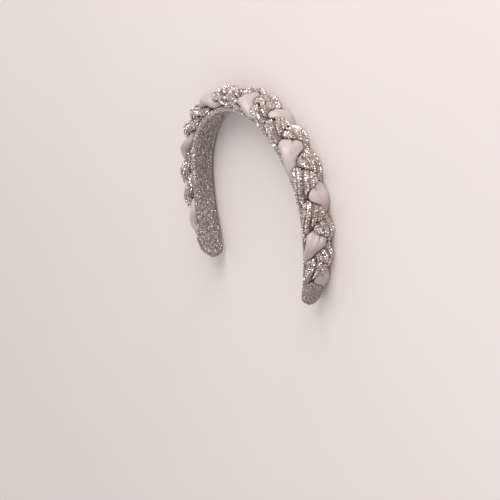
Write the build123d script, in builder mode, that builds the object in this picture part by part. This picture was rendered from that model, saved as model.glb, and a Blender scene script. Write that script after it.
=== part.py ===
"""A padded headband with a three-strand plait along its outer face.

It is a hair ornament that is worn over the crown of the head, and it lies here on its side, as it would
on a table. The crown of the band points to -Y, its two tips to +Y, and the edge that is at the front when
it is worn faces up, along +Z. The origin is on the table, under the middle of the band.

The stiff band is wrapped in cloth. One satin strand and two glitter strands are plaited over it, from the
tip at -X over the crown to the tip at +X. Each strand is a padded tube of cloth, pressed flat where the
next strand crosses it, and all three taper and end just short of the band's rounded tips.

Arc is a length in millimetres along the band's inner face, from the end of the tip at -X. Side is a
distance across the band from its middle, positive towards the front edge, and rise is a distance outwards
from the band's outer face.
"""

import os
from itertools import pairwise
from math import cos, degrees, hypot, pi, radians, sin
from typing import NamedTuple

from build123d import *

os.makedirs("parts", exist_ok=True)

# Band: two curved legs that meet the round crown without a corner
CROWN_RADIUS = 77.0
LEG_RADIUS = 200.0
LEG_LENGTH = 67.0
BAND_THICKNESS = 4.5
CROWN_WIDTH = 21.5
TIP_WIDTH = 16.5
TAPER_START = -60.0
EDGE_ROUND = 1.6
BAND_LENGTH = 2 * LEG_LENGTH + pi * CROWN_RADIUS

# Where the band lies: its middle from the crown's centre, and how high and how level its mid-plane is
MIDDLE_FROM_CROWN = 14.03
REST_HEIGHT = 12.11
REST_TILT = 1.01

# Plait: how far the strands swing across and up from their mid-line, and the phase of a fold on top
SWING = 4.6
FRONT_SHIFT = 1.0
LIFT = 3.0
LIFT_LAG = -30.0
LAG_SWING = 10.0
MIDLINE_RISE = 6.2
FOLD_PHASE = 125.0
CREST_SWING = 32.0

# One strand before its neighbours press on it, and how far the upper one pushes the lower ones aside
STRAND_WIDTH = 19.8
STRAND_HEIGHT = 10.0
SQUARENESS = 2.2
UPPER_SHARE = 0.6
CORNER_SHARPNESS = 7
FIT_GAP = 0.6

# How far the cloth hangs down over the band's rounded edges
OVERHANG_START = 2.0
OVERHANG_SPREAD = 2.5
OVERHANG_DROP = 2.0

# Facets of a strand
PLAIT_START = 12.0
STATION_COUNT = 160
STATION_SPACING = (BAND_LENGTH - 2 * PLAIT_START) / (STATION_COUNT - 1)
OUTLINE_POINTS = 12
ROOM_SAMPLES = (-0.5, 0.0, 0.5)


class Taper(NamedTuple):
    """How much of its full size the plait has at one distance from a tip."""

    from_tip: float
    width: float
    rise: float


TAPERS = (
    Taper(from_tip=12.0, width=0.64, rise=0.28),
    Taper(from_tip=17.0, width=0.72, rise=0.42),
    Taper(from_tip=24.0, width=0.79, rise=0.58),
    Taper(from_tip=36.0, width=0.84, rise=0.75),
    Taper(from_tip=56.0, width=0.88, rise=0.87),
    Taper(from_tip=95.0, width=0.94, rise=0.95),
    Taper(from_tip=150.0, width=1.00, rise=1.00),
)


class Fold(NamedTuple):
    """Where the satin strand lies on top: towards the front edge at even half turns, else the rear one."""

    half_turns: int
    arc: float


FOLDS = (
    Fold(half_turns=-2, arc=-3.0),
    Fold(half_turns=-1, arc=28.0),
    Fold(half_turns=0, arc=59.5),
    Fold(half_turns=1, arc=91.0),
    Fold(half_turns=2, arc=125.0),
    Fold(half_turns=3, arc=152.0),
    Fold(half_turns=4, arc=177.0),
    Fold(half_turns=5, arc=198.5),
    Fold(half_turns=6, arc=228.0),
    Fold(half_turns=7, arc=256.5),
    Fold(half_turns=8, arc=285.0),
    Fold(half_turns=9, arc=316.0),
    Fold(half_turns=10, arc=347.0),
    Fold(half_turns=11, arc=378.0),
)


class Strand(NamedTuple):
    """One strand of the plait: how full it is towards each edge, and what shapes its outer side."""

    front_fullness: float
    rear_fullness: float
    groove_depth: float
    gather_depth: float
    rear_flatness: float
    drape: float


class Room(NamedTuple):
    """A straight limit on a strand's outline, where another strand lies: its direction and distance."""

    towards_side: float
    towards_rise: float
    distance: float


STRANDS = (
    Strand(1.6, 1.0, groove_depth=0.0, gather_depth=0.3, rear_flatness=0.28, drape=0.08),
    Strand(1.0, 1.0, groove_depth=0.25, gather_depth=0.0, rear_flatness=0.0, drape=0.0),
    Strand(1.0, 1.0, groove_depth=0.25, gather_depth=0.0, rear_flatness=0.0, drape=0.0),
)
PLEAT_SPREAD = 32.0
FLAT_SPREAD = 75.0
GATHER_PHASE = -18.0
GATHER_LENGTH = 45.0
DRAPE_ANGLE = -115.0
DRAPE_SPREAD = 48.0

LYING = Plane(
    origin=(0, MIDDLE_FROM_CROWN, REST_HEIGHT),
    x_dir=(1, 0, 0),
    z_dir=(0, sin(radians(REST_TILT)), cos(radians(REST_TILT))),
)


def plait_scale(arc: float) -> tuple[float, float]:
    """The plait's width and rise at one arc, as shares of their full size."""
    from_tip = min(arc, BAND_LENGTH - arc)
    if from_tip <= TAPERS[0].from_tip:
        return TAPERS[0].width, TAPERS[0].rise
    for low, high in pairwise(TAPERS):
        if from_tip <= high.from_tip:
            share = (from_tip - low.from_tip) / (high.from_tip - low.from_tip)
            return low.width + share * (high.width - low.width), low.rise + share * (high.rise - low.rise)
    return TAPERS[-1].width, TAPERS[-1].rise


def station(arc: float) -> Plane:
    """The plane across the band at one arc: x is side, y is rise, and its origin is on the outer face."""
    near = arc < BAND_LENGTH / 2
    hand = -1 if near else 1
    from_tip = min(arc, BAND_LENGTH - arc)
    if from_tip < LEG_LENGTH:
        turn = (LEG_LENGTH - from_tip) / LEG_RADIUS
        reach = LEG_RADIUS + BAND_THICKNESS
        centre = CROWN_RADIUS - LEG_RADIUS
    else:
        turn = -(from_tip - LEG_LENGTH) / CROWN_RADIUS
        reach = CROWN_RADIUS + BAND_THICKNESS
        centre = 0.0
    place = (hand * (centre + reach * cos(turn)), reach * sin(turn), 0)
    along = (-sin(turn), hand * cos(turn), 0)
    across = Plane(origin=place, x_dir=(0, 0, 1), z_dir=along)
    return Plane(LYING.location * across.location)


def phase(arc: float, turn: int) -> float:
    """Where a strand is in its pattern, in radians: a quarter turn is its furthest to the front edge."""
    number = sum(fold.arc <= arc for fold in FOLDS[2:-2])
    before, low, high, after = FOLDS[number : number + 4]
    length = high.arc - low.arc
    share = (arc - low.arc) / length
    low_slope = (high.half_turns - before.half_turns) / (high.arc - before.arc) * length
    high_slope = (after.half_turns - low.half_turns) / (after.arc - low.arc) * length
    bend = share * (share - 1) ** 2 * low_slope + share**2 * (share - 1) * high_slope
    half_turns = low.half_turns + share**2 * (3 - 2 * share) + bend
    return radians(FOLD_PHASE) + pi * (half_turns + 2 * turn / len(STRANDS))


def sunk(arc: float, turn: int) -> float:
    """How far a strand is under the others: -1 where it is on top, 1 where it is lowest."""
    angle = phase(arc, turn)
    return sin(2 * angle - radians(LIFT_LAG + LAG_SWING * sin(angle)))


def strand_centre(arc: float, turn: int) -> tuple[float, float]:
    """Side and rise of a strand's mid-line, before the taper."""
    return FRONT_SHIFT + SWING * sin(phase(arc, turn)), MIDLINE_RISE - LIFT * sunk(arc, turn)


def firmness(arc: float, turn: int) -> float:
    """How much room a strand takes against its neighbours: the most while it is on top."""
    strand = STRANDS[turn]
    mean = (strand.front_fullness + strand.rear_fullness) / 2
    change = (strand.front_fullness - strand.rear_fullness) / 2
    return (mean + change * sin(phase(arc, turn))) * (1 - UPPER_SHARE * sunk(arc, turn))


def crest(arc: float, turn: int) -> float:
    """The direction from a strand's mid-line to the middle of what shows of it, in degrees."""
    return 90 - CREST_SWING * sin(phase(arc, turn))


def band_half_width(arc: float) -> float:
    """Half the covered band's width at one arc: it narrows evenly towards the tips, seen from the side."""
    from_tip = min(arc, BAND_LENGTH - arc)
    if from_tip < LEG_LENGTH:
        ahead = LEG_RADIUS * sin((LEG_LENGTH - from_tip) / LEG_RADIUS)
    else:
        ahead = -CROWN_RADIUS * sin((from_tip - LEG_LENGTH) / CROWN_RADIUS)
    narrow_end = LEG_RADIUS * sin(LEG_LENGTH / LEG_RADIUS) - TIP_WIDTH / 2
    share = min((narrow_end - ahead) / (narrow_end - TAPER_START), 1.0)
    return (TIP_WIDTH + share * (CROWN_WIDTH - TIP_WIDTH)) / 2


def kept(arc: float, turn: int, from_crest: float) -> float:
    """How much of its radius a strand keeps: less in its pleats, more where it drapes over the front."""
    strand = STRANDS[turn]
    flatness = strand.rear_flatness * max(0.0, -sin(phase(arc, turn)))
    flat = flatness * max(0.0, 1 - abs(from_crest) / FLAT_SPREAD)
    from_tuck = (degrees(phase(arc, turn)) - GATHER_PHASE) % 180
    from_tuck = min(from_tuck, 180 - from_tuck)
    gather = strand.gather_depth * max(0.0, 1 - from_tuck / GATHER_LENGTH)
    pleat = (strand.groove_depth + gather) * max(0.0, 1 - abs(from_crest) / PLEAT_SPREAD)
    return 1 - pleat - flat + strand.drape * max(0.0, 1 - abs(from_crest - DRAPE_ANGLE) / DRAPE_SPREAD)


def strand_rooms(arc: float, turn: int) -> list[Room]:
    """The limits that the other strands set, at this arc and half a station to either side of it."""
    half_width, half_height = STRAND_WIDTH / 2, STRAND_HEIGHT / 2
    side, rise = strand_centre(arc, turn)
    width_share, rise_share = plait_scale(arc)
    rooms = []
    for sample in ROOM_SAMPLES:
        near = arc + sample * STATION_SPACING
        near_side, near_rise = strand_centre(near, turn)
        near_width, near_height = plait_scale(near)
        wider, higher = width_share / near_width, rise_share / near_height
        firm = firmness(near, turn)
        for other in range(len(STRANDS)):
            if other == turn:
                continue
            other_side, other_rise = strand_centre(near, other)
            apart = hypot((other_side - near_side) / half_width, (other_rise - near_rise) / half_height)
            out = (other_side - near_side) / half_width / apart
            up = (other_rise - near_rise) / half_height / apart
            half_gap = FIT_GAP / 2 * apart / hypot(other_side - near_side, other_rise - near_rise)
            moved_side = (wider * side - near_side) / half_width
            moved_rise = (higher * rise - near_rise) / half_height
            own_part = apart * firm / (firm + firmness(near, other))
            distance = own_part - half_gap - moved_side * out - moved_rise * up
            rooms.append(Room(wider * out, higher * up, distance))
    return rooms


def strand_outline(arc: float, turn: int) -> list[tuple[float, float]]:
    """Side and rise of the points round a strand, pressed flat by the band and by the other strands."""
    side, rise = strand_centre(arc, turn)
    half_width, half_height = STRAND_WIDTH / 2, STRAND_HEIGHT / 2
    width_share, rise_share = plait_scale(arc)
    rooms = strand_rooms(arc, turn)
    points = []
    for step in range(OUTLINE_POINTS):
        from_crest = 360 * step / OUTLINE_POINTS - 180
        angle = radians(crest(arc, turn) + from_crest)
        out, up = cos(angle), sin(angle)
        free = (abs(out) ** SQUARENESS + abs(up) ** SQUARENESS) ** (-1 / SQUARENESS)
        limits = [free * kept(arc, turn, from_crest)]
        if up < 0:
            to_band = (rise - FIT_GAP) / (-up * half_height)
            meets_band = abs(width_share * (side + to_band * half_width * out))
            past_edge = (meets_band - band_half_width(arc) + OVERHANG_START) / OVERHANG_SPREAD
            limits.append(to_band * (1 + OVERHANG_DROP * min(max(past_edge, 0.0), 1.0) ** 2))
        for room in rooms:
            towards = out * room.towards_side + up * room.towards_rise
            if towards > 0:
                limits.append(room.distance / towards)
        tightest = min(limits)
        reach = tightest * sum((limit / tightest) ** -CORNER_SHARPNESS for limit in limits) ** (
            -1 / CORNER_SHARPNESS
        )
        points.append(
            (width_share * (side + reach * half_width * out), rise_share * (rise + reach * half_height * up))
        )
    return points


def plaited_strand(turn: int) -> Solid:
    """A closed tube of flat facets through the strand's outlines, from one end of the plait to the other."""
    rings = []
    for number in range(STATION_COUNT):
        arc = PLAIT_START + number * STATION_SPACING
        plane = station(arc)
        rings.append([plane.from_local_coords(Vector(*point, 0)) for point in strand_outline(arc, turn)])
    facets = [Face(Wire.make_polygon(rings[0])), Face(Wire.make_polygon(rings[-1]))]
    for ring, following in pairwise(rings):
        for step in range(OUTLINE_POINTS):
            beside = (step + 1) % OUTLINE_POINTS
            facets.append(Face(Wire.make_polygon([ring[step], ring[beside], following[beside]])))
            facets.append(Face(Wire.make_polygon([ring[step], following[beside], following[step]])))
    return Solid(Shell(facets))


# Cloth-covered band, cut to its width seen from the side
leg_turn = degrees(LEG_LENGTH / LEG_RADIUS)
leg_centre = LEG_RADIUS - CROWN_RADIUS
tip_y = LEG_RADIUS * sin(radians(leg_turn))
with BuildPart() as base_band:
    with BuildSketch(LYING):
        with BuildLine():
            inner_near = CenterArc((leg_centre, 0), LEG_RADIUS, 180 - leg_turn, leg_turn)
            inner_crown = CenterArc((0, 0), CROWN_RADIUS, 180, 180)
            inner_far = CenterArc((-leg_centre, 0), LEG_RADIUS, 0, leg_turn)
            outer_near = CenterArc((leg_centre, 0), LEG_RADIUS + BAND_THICKNESS, 180 - leg_turn, leg_turn)
            outer_crown = CenterArc((0, 0), CROWN_RADIUS + BAND_THICKNESS, 180, 180)
            outer_far = CenterArc((-leg_centre, 0), LEG_RADIUS + BAND_THICKNESS, 0, leg_turn)
            Line(inner_near @ 0, outer_near @ 0)
            Line(inner_far @ 1, outer_far @ 1)
        make_face()
    extrude(amount=CROWN_WIDTH / 2, both=True)
    side_view = Plane(origin=LYING.origin, x_dir=LYING.y_dir, z_dir=(1, 0, 0))
    crown_y = -(CROWN_RADIUS + BAND_THICKNESS + 1)
    with BuildSketch(side_view):
        with BuildLine():
            tip_round = CenterArc((tip_y - TIP_WIDTH / 2, 0), TIP_WIDTH / 2, -90, 180)
            Polyline(
                tip_round @ 1,
                (TAPER_START, CROWN_WIDTH / 2),
                (crown_y, CROWN_WIDTH / 2),
                (crown_y, -CROWN_WIDTH / 2),
                (TAPER_START, -CROWN_WIDTH / 2),
                tip_round @ 0,
            )
        make_face()
    extrude(amount=CROWN_RADIUS + 2 * BAND_THICKNESS, both=True, mode=Mode.INTERSECT)
    fillet(base_band.edges(), EDGE_ROUND)
base_band.part.label = "base_band"
export_step(base_band.part, "parts/base_band.step")

with BuildPart() as satin_strand:
    add(plaited_strand(turn=0))
satin_strand.part.label = "satin_strand"
export_step(satin_strand.part, "parts/satin_strand.step")

with BuildPart() as glitter_strand_first:
    add(plaited_strand(turn=1))
glitter_strand_first.part.label = "glitter_strand_first"
export_step(glitter_strand_first.part, "parts/glitter_strand_first.step")

with BuildPart() as glitter_strand_second:
    add(plaited_strand(turn=2))
glitter_strand_second.part.label = "glitter_strand_second"
export_step(glitter_strand_second.part, "parts/glitter_strand_second.step")
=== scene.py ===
"""The dressed model of a padded headband with a three-strand plait.

The headband lies on its side on a pale floor. The crown of its band points to -Y, its two tips to
+Y, and the edge that is at the front when it is worn faces up. A stiff band wrapped in fine glitter
cloth carries a plait of one satin strand and two strands of crystal cloth.

Lengths in the dataclasses are millimetres, and everything that reaches Blender is metres. Arc is a
length along the band's inner face from the end of the tip at -X, side is a distance across the
band towards its front edge, and rise is a distance outwards from the band's outer face.
"""

from __future__ import annotations

import logging
from bisect import bisect_right
from collections.abc import Callable, Iterable
from dataclasses import dataclass, field
from enum import Enum
from itertools import accumulate, pairwise
from math import cos, degrees, hypot, pi, radians, sin, sqrt
from random import Random
from typing import NamedTuple

import bmesh
import bpy
from mathutils import Euler, Matrix, Quaternion, Vector

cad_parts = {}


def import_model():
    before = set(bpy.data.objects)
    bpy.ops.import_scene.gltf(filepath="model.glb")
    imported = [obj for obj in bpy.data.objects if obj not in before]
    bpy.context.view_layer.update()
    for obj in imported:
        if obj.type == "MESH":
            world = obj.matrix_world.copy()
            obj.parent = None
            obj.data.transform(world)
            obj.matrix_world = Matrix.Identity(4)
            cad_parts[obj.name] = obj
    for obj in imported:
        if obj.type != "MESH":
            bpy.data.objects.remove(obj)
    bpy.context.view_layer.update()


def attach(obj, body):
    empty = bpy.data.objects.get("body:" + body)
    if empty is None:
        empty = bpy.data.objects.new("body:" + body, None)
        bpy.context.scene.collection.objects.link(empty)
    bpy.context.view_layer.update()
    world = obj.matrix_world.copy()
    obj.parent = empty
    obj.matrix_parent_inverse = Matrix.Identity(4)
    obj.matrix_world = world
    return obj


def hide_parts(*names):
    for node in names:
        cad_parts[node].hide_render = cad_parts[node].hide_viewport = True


LOG = logging.getLogger("headband")
MM = 0.001
BODY = "root"
LEAST_SLOPE = 0.001
WELD = 1e-7
NO_LENGTH = 1e-12

Colour = tuple[float, float, float]
Flat = tuple[float, float]


class Slot(Enum):
    """The record's material slots."""

    GLITTER_COVER = "glitter_cover"
    SATIN = "satin"
    CRYSTAL_FABRIC = "crystal_fabric"


class Socket(Enum):
    """The kinds of socket that the node groups have."""

    GEOMETRY = "NodeSocketGeometry"
    NUMBER = "NodeSocketFloat"
    VECTOR = "NodeSocketVector"


def clamp(value: float) -> float:
    """The value, kept between 0 and 1."""
    return min(max(value, 0.0), 1.0)


def ease(share: float) -> float:
    """A soft step from 0 to 1 as share goes from 0 to 1."""
    share = clamp(share)
    return share * share * (3 - 2 * share)


def ways_round(count: int) -> list[Flat]:
    """Unit steps across and outwards, spaced evenly from the front edge over the outer side."""
    angles = [2 * pi * number / count for number in range(count)]
    return [(cos(angle), sin(angle)) for angle in angles]


def box_reach(out: float, up: float, power: float) -> float:
    """How far a box with rounded corners reaches one way. A higher power makes it squarer."""
    return (abs(out) ** power + abs(up) ** power) ** (-1 / power)


class Fade(NamedTuple):
    """A soft step along the band, from 0 at one distance from the nearer tip to 1 at another."""

    start: float
    end: float

    def at(self, from_tip: float) -> float:
        """How far the step has come at one distance from the nearer tip."""
        return ease((from_tip - self.start) / (self.end - self.start))


class Station(NamedTuple):
    """The band's outer face at one arc: a point on it, and the ways across, outwards and along."""

    origin: Vector
    across: Vector
    outward: Vector
    along: Vector

    def place(self, side: float, rise: float) -> Vector:
        """The point at a side and a rise, in metres, pressed flat where it meets the floor."""
        point = self.origin + (self.across * side + self.outward * rise) * MM
        return Vector((point.x, point.y, max(point.z, 0.0)))


@dataclass(frozen=True)
class Band:
    """The line, widths and resting place of the stiff band."""

    crown_radius: float = 77.0
    leg_radius: float = 200.0
    leg_length: float = 67.0
    thickness: float = 4.5
    crown_width: float = 21.5
    tip_width: float = 16.5
    taper_start: float = -60.0
    middle_from_crown: float = 14.03
    rest_height: float = 12.11
    rest_tilt: float = 1.01

    @property
    def length(self) -> float:
        """The length along the inner face, from tip to tip."""
        return 2 * self.leg_length + pi * self.crown_radius

    @property
    def lying(self) -> Matrix:
        """How the band lies.

        Returns:
            The way from millimetres in its own plane, about the crown's centre, to the floor.
        """
        tilt = radians(self.rest_tilt)
        rows = ((1, 0, 0), (0, cos(tilt), sin(tilt)), (0, -sin(tilt), cos(tilt)))
        moved = Matrix.Translation((0, self.middle_from_crown, self.rest_height))
        return Matrix.Scale(MM, 4) @ moved @ Matrix(rows).to_4x4()

    @property
    def turned(self) -> Matrix:
        """The turn alone from the band's own plane to the floor."""
        return self.lying.to_3x3() * (1 / MM)

    def from_tip(self, arc: float) -> float:
        """The distance from the nearer tip's end."""
        return min(arc, self.length - arc)

    def hand(self, arc: float) -> int:
        """Which half of the band an arc is on: -1 for the one at -X, 1 for the other."""
        return -1 if arc < self.length / 2 else 1

    def bend(self, arc: float) -> tuple[float, float, float]:
        """The circle that the inner face follows.

        Args:
            arc: length along the band.

        Returns:
            The circle's radius, how far out its centre is from the crown's, and the turn on it.
        """
        left = self.leg_length - self.from_tip(arc)
        if left > 0:
            return self.leg_radius, self.crown_radius - self.leg_radius, left / self.leg_radius
        return self.crown_radius, 0.0, left / self.crown_radius

    def station(self, arc: float) -> Station:
        """Where the outer face is, and which way it looks.

        Args:
            arc: length along the band.

        Returns:
            The station, in metres on the floor.
        """
        radius, centre, turn = self.bend(arc)
        hand, reach = self.hand(arc), radius + self.thickness
        flat = self.turned
        return Station(
            origin=self.lying @ Vector((hand * (centre + reach * cos(turn)), reach * sin(turn), 0)),
            across=flat @ Vector((0, 0, 1)),
            outward=flat @ Vector((hand * cos(turn), sin(turn), 0)),
            along=flat @ Vector((-sin(turn), hand * cos(turn), 0)),
        )

    def half_width(self, arc: float) -> float:
        """Half the band's width, before the tip is rounded off.

        Args:
            arc: length along the band.

        Returns:
            The half width, which shrinks evenly to the tips when the band is seen from the side.
        """
        radius, _, turn = self.bend(arc)
        narrow = self.leg_radius * sin(self.leg_length / self.leg_radius) - self.tip_width / 2
        share = min((narrow - radius * sin(turn)) / (narrow - self.taper_start), 1.0)
        return (self.tip_width + share * (self.crown_width - self.tip_width)) / 2


class Taper(NamedTuple):
    """How much of its full size the plait has at one distance from a tip."""

    from_tip: float
    width: float
    rise: float


TAPERS = (
    Taper(12.0, width=0.64, rise=0.28),
    Taper(17.0, width=0.72, rise=0.42),
    Taper(24.0, width=0.79, rise=0.58),
    Taper(36.0, width=0.84, rise=0.75),
    Taper(56.0, width=0.88, rise=0.87),
    Taper(95.0, width=0.94, rise=0.95),
    Taper(150.0, width=1.00, rise=1.00),
)


class Fold(NamedTuple):
    """Where the satin is on top: towards the front edge at even half turns, else the rear one."""

    half_turns: int
    arc: float


FOLD_ARCS = (-3.0, 28.0, 59.5, 91.0, 125.0, 152.0, 177.0)
FOLD_ARCS += (198.5, 228.0, 256.5, 285.0, 316.0, 347.0, 378.0)
FOLDS = tuple(Fold(*row) for row in enumerate(FOLD_ARCS, start=-2))


class Fullness(NamedTuple):
    """How well a strand is filled towards the front edge, the rear one, and there near a tip."""

    front: float = 1.0
    rear: float = 1.0
    rear_near_tip: float = 1.0


@dataclass(frozen=True)
class Plait:
    """The pattern in which the strands cross over the band."""

    band: Band
    swing: float = 4.6
    front_shift: float = 1.0
    lift: float = 3.0
    lift_lag: float = -30.0
    lag_swing: float = 10.0
    midline_rise: float = 6.2
    fold_phase: float = 125.0
    strand_count: int = 3
    strand_width: float = 19.8
    strand_height: float = 10.0
    squareness: float = 2.2
    upper_share: float = 0.6
    fullness: tuple[Fullness, ...] = (Fullness(1.6, 1.0, 0.45), Fullness(), Fullness())
    near_tip: Fade = Fade(start=48.0, end=26.0)
    crest_swing: float = 32.0
    corner_sharpness: float = 7.0
    fit_gap: float = 0.24
    overhang_start: float = 2.0
    overhang_spread: float = 2.5
    overhang_drop: float = 2.0
    start: float = 12.0

    def scale(self, arc: float) -> Flat:
        """The plait's size.

        Args:
            arc: length along the band.

        Returns:
            Its width and its rise, as shares of their full size.
        """
        from_tip = max(self.band.from_tip(arc), TAPERS[0].from_tip)
        for low, high in pairwise(TAPERS):
            if from_tip <= high.from_tip:
                share = (from_tip - low.from_tip) / (high.from_tip - low.from_tip)
                width = low.width + share * (high.width - low.width)
                return width, low.rise + share * (high.rise - low.rise)
        return TAPERS[-1].width, TAPERS[-1].rise

    def phase(self, arc: float, turn: int) -> float:
        """Where a strand is in its pattern, on a smooth line through the satin's folds.

        Args:
            arc: length along the band.
            turn: the strand's number.

        Returns:
            An angle in radians: at a quarter turn the strand is furthest to the front.
        """
        number = sum(fold.arc <= arc for fold in FOLDS[2:-2])
        before, low, high, after = FOLDS[number : number + 4]
        length = high.arc - low.arc
        share = (arc - low.arc) / length
        slope_low = (high.half_turns - before.half_turns) / (high.arc - before.arc) * length
        slope_high = (after.half_turns - low.half_turns) / (after.arc - low.arc) * length
        half_turns = low.half_turns + (
            share * (share - 1) ** 2 * slope_low
            + share**2 * (3 - 2 * share)
            + share**2 * (share - 1) * slope_high
        )
        return radians(self.fold_phase) + pi * (half_turns + 2 * turn / self.strand_count)

    def sunk(self, arc: float, turn: int) -> float:
        """How far a strand is under the others: -1 where it is on top, 1 where it is lowest."""
        angle = self.phase(arc, turn)
        return sin(2 * angle - radians(self.lift_lag + self.lag_swing * sin(angle)))

    def centre(self, arc: float, turn: int) -> Flat:
        """Side and rise of a strand's mid-line, before the taper."""
        side = self.front_shift + self.swing * sin(self.phase(arc, turn))
        return side, self.midline_rise - self.lift * self.sunk(arc, turn)

    def firmness(self, arc: float, turn: int) -> float:
        """How much room a strand takes against its neighbours.

        Args:
            arc: length along the band.
            turn: the strand's number.

        Returns:
            How well it is filled there, which counts the most while it is on top.
        """
        front, rear, rear_near_tip = self.fullness[turn]
        rear += (rear_near_tip - rear) * self.near_tip.at(self.band.from_tip(arc))
        filled = (front + rear) / 2 + (front - rear) / 2 * sin(self.phase(arc, turn))
        return filled * (1 - self.upper_share * self.sunk(arc, turn))

    def crest(self, arc: float, turn: int) -> float:
        """The way from a strand's mid-line to the middle of what shows of it, in degrees."""
        return 90 - self.crest_swing * sin(self.phase(arc, turn))


class Pleat(NamedTuple):
    """A fold that runs along a strand from where it is tucked under.

    Angle, spread and drift are degrees round the strand from its crest, depth is a share of the
    strand's radius, and below 0 it is a swelling. Reach is degrees of the plait's pattern from the
    tuck, and 0 goes on for ever. A side of 1 is for where the strand lies towards the front edge,
    -1 for the rear one, and 0 for both.
    """

    angle: float
    depth: float
    spread: float
    reach: float = 0.0
    drift: float = 0.0
    side: int = 0


SATIN_PLEATS = (
    Pleat(angle=29, depth=1.05, spread=20, reach=44),
    Pleat(angle=-12, depth=0.16, spread=26, reach=95, drift=-10),
    Pleat(angle=54, depth=0.10, spread=15, reach=75, drift=8),
    Pleat(angle=0, depth=0.28, spread=75, side=-1),
    Pleat(angle=-24, depth=0.50, spread=22, reach=70, drift=14, side=-1),
    Pleat(angle=-115, depth=-0.08, spread=48, side=1),
)
GLITTER_PLEATS = (
    Pleat(angle=-6, depth=0.55, spread=17),
    Pleat(angle=38, depth=0.32, spread=13),
    Pleat(angle=-50, depth=0.32, spread=13),
)


class Room(NamedTuple):
    """A straight limit on a strand's outline, where another strand lies."""

    towards_side: float
    towards_rise: float
    distance: float


class Ring(NamedTuple):
    """An outline of a strand: its points, how free each is from 0 to 1, and where its crest is."""

    arc: float
    points: list[Vector]
    free: list[float]
    crest: float

    @property
    def middle(self) -> Vector:
        """The mean of the points."""
        return sum(self.points, Vector()) / len(self.points)


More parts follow.
